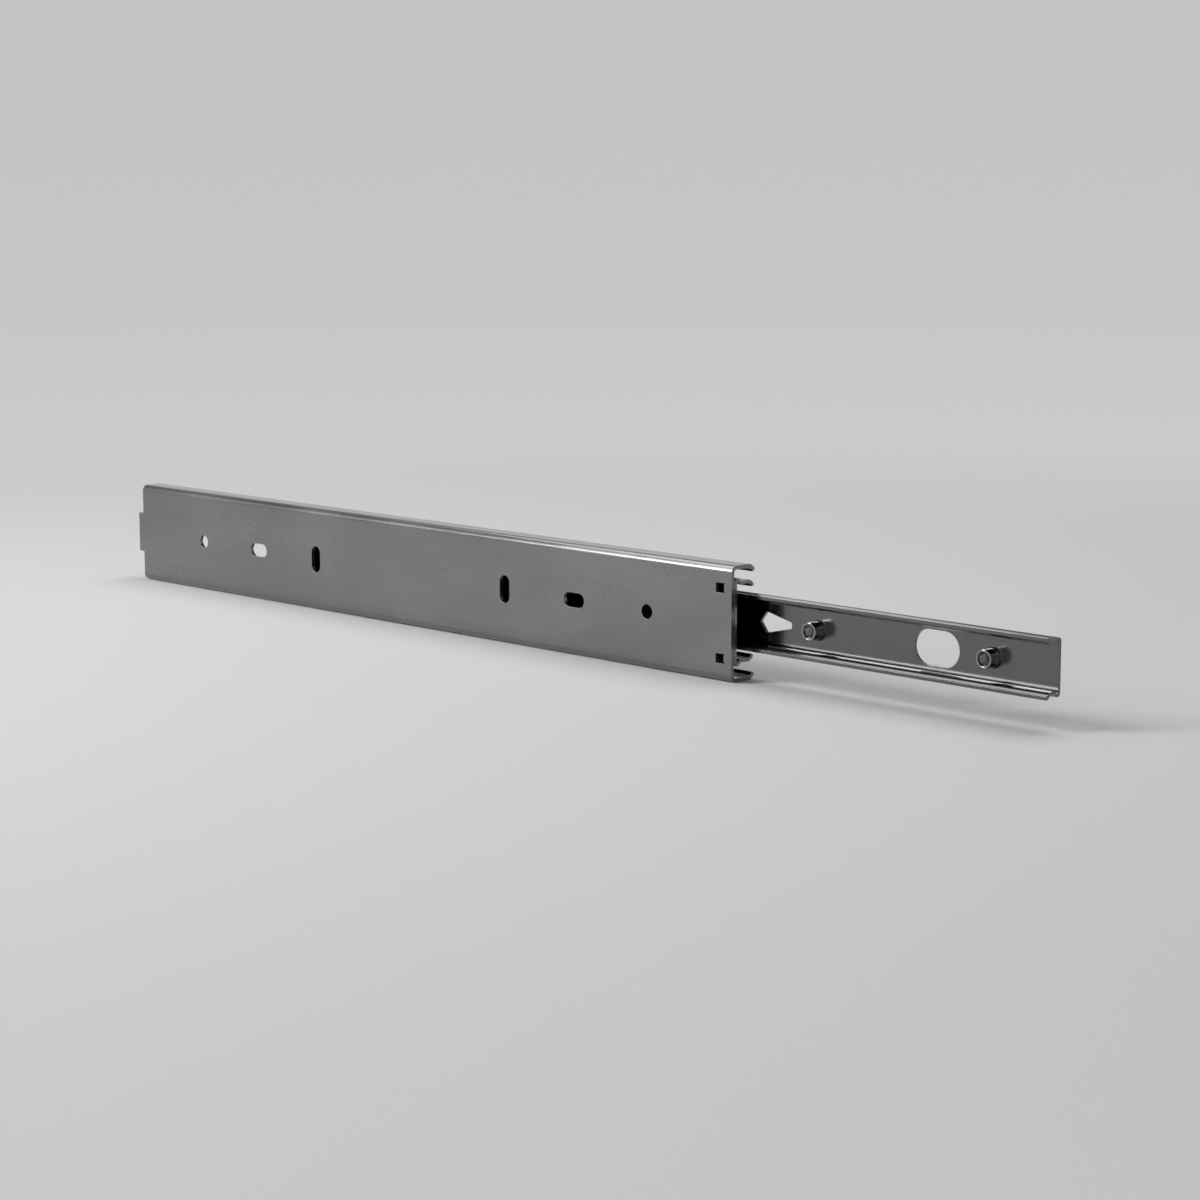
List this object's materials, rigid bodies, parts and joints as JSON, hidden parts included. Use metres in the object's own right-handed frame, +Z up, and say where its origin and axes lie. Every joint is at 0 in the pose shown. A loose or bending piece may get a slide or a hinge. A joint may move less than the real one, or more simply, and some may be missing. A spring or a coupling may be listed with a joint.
{
  "type": "drawer slide",
  "caption": "Side-mounted full-extension ball-bearing drawer slide: nested steel channels that telescope on caged balls, with threaded collars, access slots and a release lever.",
  "frame": {"origin": "middle of the cabinet member's front edge, on the face that lies against the cabinet wall", "axes": "+X from the cabinet wall to the drawer side, +Y along the slide to the back, +Z up"},
  "size_m": [0.0127, 0.4114, 0.035],
  "materials": {
    "cabinet_steel": "bright zinc plate",
    "intermediate_steel": "bright zinc plate",
    "drawer_steel": "polished plate",
    "retainer_steel": "rolled strip",
    "ball_steel": "polished",
    "spring_steel": "tempered strip",
    "rivet_steel": "zinc plate",
    "lever_plastic": "moulded",
    "bumper_rubber": "moulded"
  },
  "bodies": {
    "cabinet": {"cabinet_member": "cabinet_steel", "rear_bumper": "bumper_rubber"},
    "intermediate": {"intermediate_member": "intermediate_steel"},
    "outer_retainers": {"upper_outer_retainer": "retainer_steel", "lower_outer_retainer": "retainer_steel", "lower_outer_ball_1": "ball_steel", "lower_outer_ball_2": "ball_steel", "lower_outer_ball_3": "ball_steel", "lower_outer_ball_4": "ball_steel", "lower_outer_ball_5": "ball_steel", "lower_outer_ball_6": "ball_steel", "lower_outer_ball_7": "ball_steel", "upper_outer_ball_1": "ball_steel", "upper_outer_ball_2": "ball_steel", "upper_outer_ball_3": "ball_steel", "upper_outer_ball_4": "ball_steel", "upper_outer_ball_5": "ball_steel", "upper_outer_ball_6": "ball_steel", "upper_outer_ball_7": "ball_steel"},
    "drawer": {"drawer_member": "drawer_steel", "lever_rivet": "rivet_steel"},
    "inner_retainer": {"inner_retainer": "retainer_steel", "lower_inner_ball_1": "ball_steel", "lower_inner_ball_2": "ball_steel", "lower_inner_ball_3": "ball_steel", "lower_inner_ball_4": "ball_steel", "lower_inner_ball_5": "ball_steel", "upper_inner_ball_1": "ball_steel", "upper_inner_ball_2": "ball_steel", "upper_inner_ball_3": "ball_steel", "upper_inner_ball_4": "ball_steel", "upper_inner_ball_5": "ball_steel"},
    "lever": {"release_lever": "lever_plastic", "lever_spring": "spring_steel"}
  },
  "joints": [
    {"name": "intermediate_slide", "type": "slide", "parent": "cabinet", "child": "intermediate", "axis": [0, -1, 0], "range_m": [0, 0.15]},
    {"name": "outer_retainer_slide", "type": "slide", "parent": "cabinet", "child": "outer_retainers", "axis": [0, -1, 0], "range_m": [0, 0.075]},
    {"name": "drawer_slide", "type": "slide", "parent": "intermediate", "child": "drawer", "axis": [0, -1, 0], "range_m": [-0.11, 0.04]},
    {"name": "inner_retainer_slide", "type": "slide", "parent": "intermediate", "child": "inner_retainer", "axis": [0, -1, 0], "range_m": [-0.055, 0.02]},
    {"name": "lever_pivot", "type": "hinge", "parent": "drawer", "child": "lever", "pos_m": [0.0105, 0.152, 0], "axis": [1, 0, 0], "range_deg": [0, 12], "stiffness_Nm_per_rad": 0.05, "springref_deg": -5.73, "deforming": ["lever_spring"]}
  ],
  "couplings": [
    {"joint": "outer_retainer_slide", "follows": "intermediate_slide", "ratio": 0.5},
    {"joint": "inner_retainer_slide", "follows": "drawer_slide", "ratio": 0.5}
  ]
}
